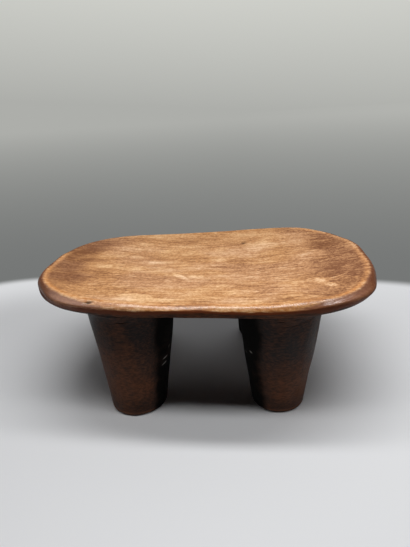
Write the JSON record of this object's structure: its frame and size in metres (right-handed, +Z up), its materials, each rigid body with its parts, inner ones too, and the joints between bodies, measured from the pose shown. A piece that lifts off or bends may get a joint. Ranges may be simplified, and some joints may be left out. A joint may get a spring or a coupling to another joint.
{
  "type": "carved wooden stool",
  "caption": "Low carved wooden stool with a shallow dished oval seat, a rounded rim and stout tapering legs that stand flat on the floor.",
  "frame": {"origin": "on the floor, under the middle of the seat's length and width", "axes": "+X along the seat towards its wider end, +Y to the rear, +Z up"},
  "size_m": [0.48, 0.33, 0.191],
  "materials": {
    "seat_wood": "hand-rubbed warm brown wood with worn, lighter and darker streaks along the grain and a satin sheen",
    "leg_wood": "dark brown to black handled patina with a soft gloss, redder low down, fine cracks along the grain near the seat"
  },
  "bodies": {
    "root": {"seat": "seat_wood", "leg_front_left": "leg_wood", "leg_front_right": "leg_wood", "leg_rear_left": "leg_wood", "leg_rear_right": "leg_wood"}
  },
  "joints": []
}
